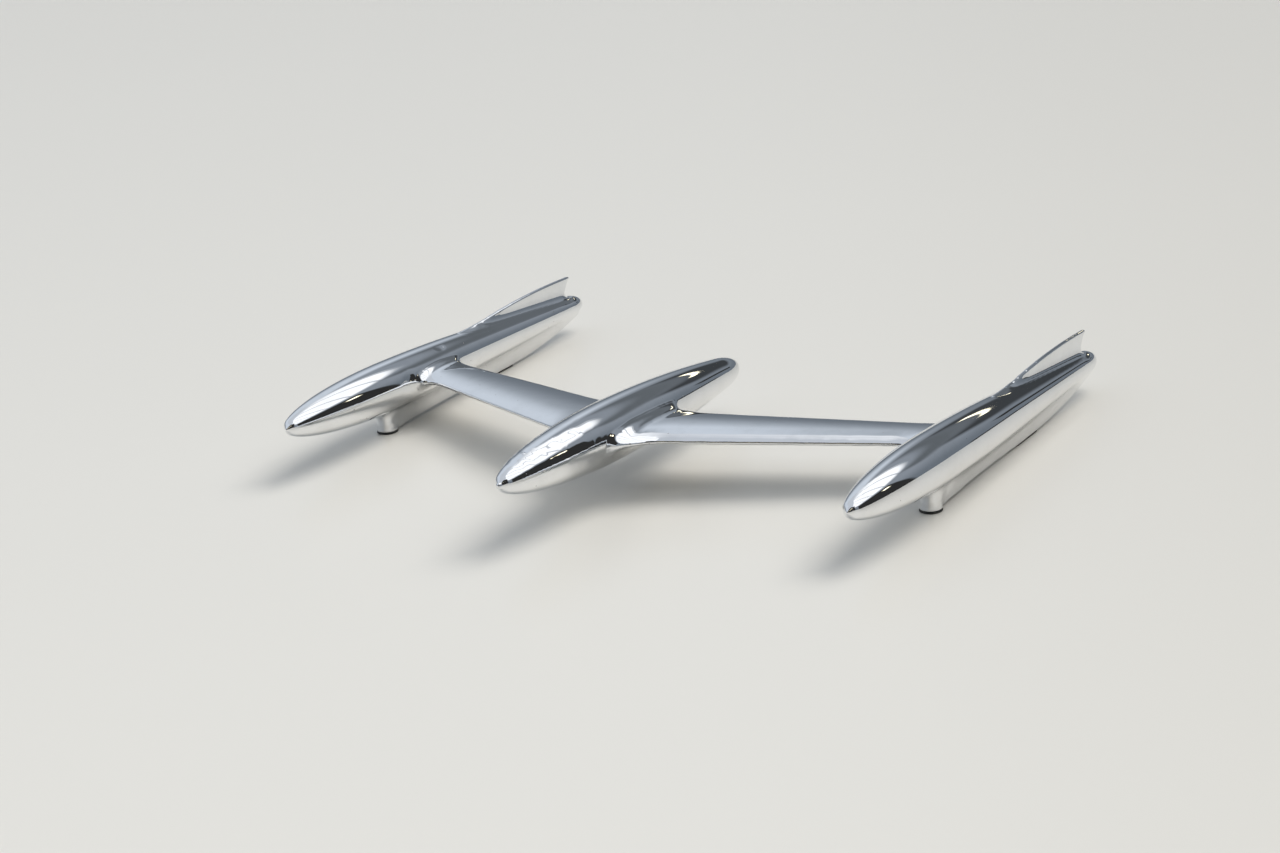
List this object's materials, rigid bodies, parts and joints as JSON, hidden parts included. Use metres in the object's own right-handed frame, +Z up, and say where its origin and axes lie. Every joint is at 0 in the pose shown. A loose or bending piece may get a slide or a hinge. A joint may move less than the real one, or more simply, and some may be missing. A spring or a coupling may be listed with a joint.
{
  "type": "car bonnet ornament",
  "caption": "Chrome-plated bonnet ornament: slender jet shapes joined by a swept wing, standing on posts and finned keels, held by studs through the bonnet.",
  "frame": {"origin": "on the bonnet seat, midway between the two stud posts of the side jets", "axes": "+X to the car's left across the wing, +Y rearward along the bonnet, +Z up from the bonnet; the noses point to -Y"},
  "size_m": [0.4554, 0.4013, 0.0836],
  "materials": {
    "chrome": "polished chrome plate on zinc die casting",
    "gasket_rubber": "matt black rubber",
    "stud_steel": "zinc-plated steel"
  },
  "bodies": {
    "root": {"centre_jet": "chrome", "wing_left": "chrome", "wing_right": "chrome", "jet_left": "chrome", "jet_right": "chrome", "post_gasket_left": "gasket_rubber", "post_gasket_right": "gasket_rubber", "toe_pad_left": "gasket_rubber", "toe_pad_right": "gasket_rubber", "stud_left": "stud_steel", "stud_right": "stud_steel"}
  },
  "joints": []
}
